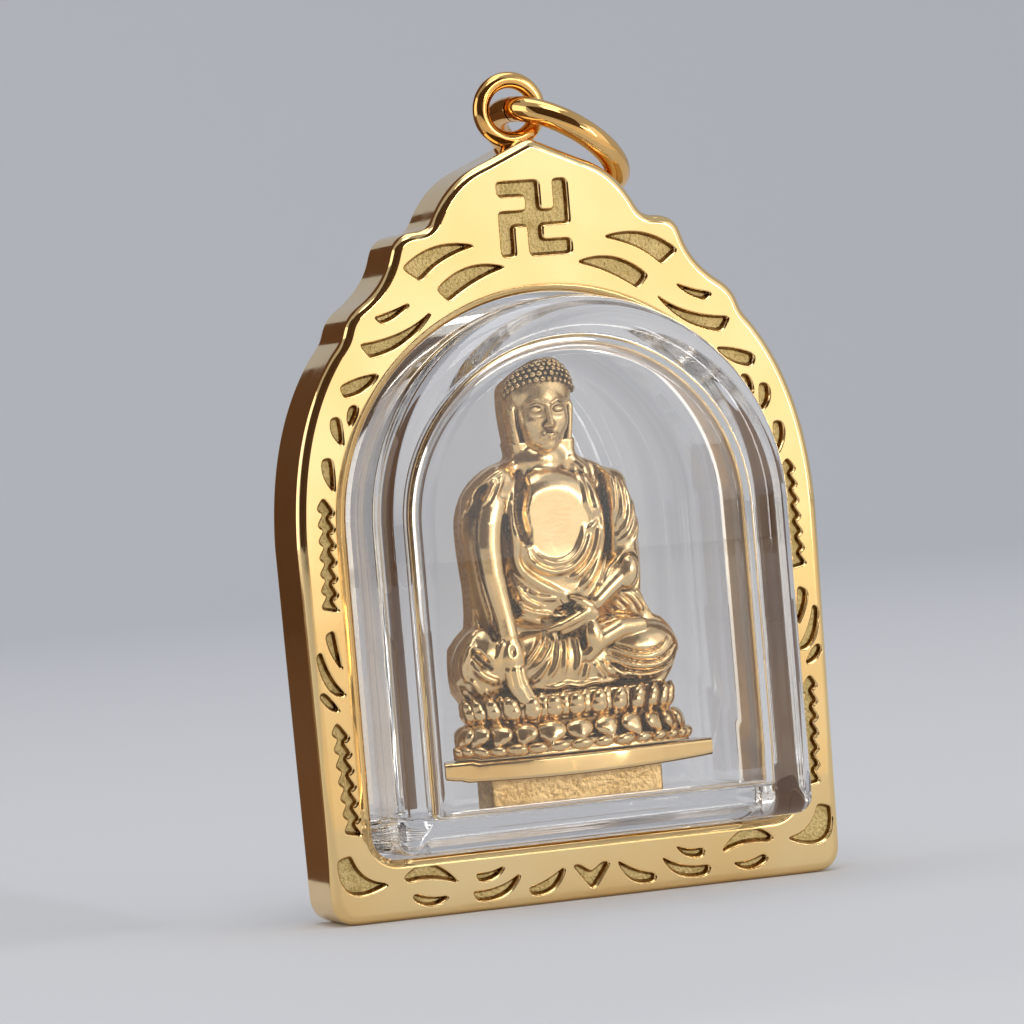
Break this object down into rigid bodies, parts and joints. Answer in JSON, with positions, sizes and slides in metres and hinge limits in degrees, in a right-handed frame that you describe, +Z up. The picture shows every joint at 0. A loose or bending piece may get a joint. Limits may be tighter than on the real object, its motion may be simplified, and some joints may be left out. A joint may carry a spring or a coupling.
{
  "type": "amulet case pendant",
  "caption": "Arched gilt amulet case with engraved marks, a clear domed capsule over a cast seated figure on a lotus, a soldered top loop and a thick jump ring for a chain.",
  "frame": {"origin": "middle of the flat base, under the frame", "axes": "+Z up through the loop, the front faces -Y, +X to the right as seen from the front"},
  "size_m": [0.031, 0.0152, 0.0465],
  "materials": {
    "polished_gold": "mirror polished pale gold plate, matte in the engraved marks",
    "clear_capsule": "clear polished acrylic",
    "cast_gold": "cast relief, satin to polished",
    "ring_gold": "polished deep gold plate"
  },
  "bodies": {
    "case": {"case_frame": "polished_gold", "front_crystal": "clear_capsule", "back_crystal": "clear_capsule", "figure": "cast_gold"},
    "ring": {"jump_ring": "ring_gold"}
  },
  "joints": [
    {"name": "ring_swing", "type": "hinge", "parent": "case", "child": "ring", "pos_m": [0, 0.0007, 0.04435], "axis": [0, -1, 0], "range_deg": [0, 235]}
  ]
}
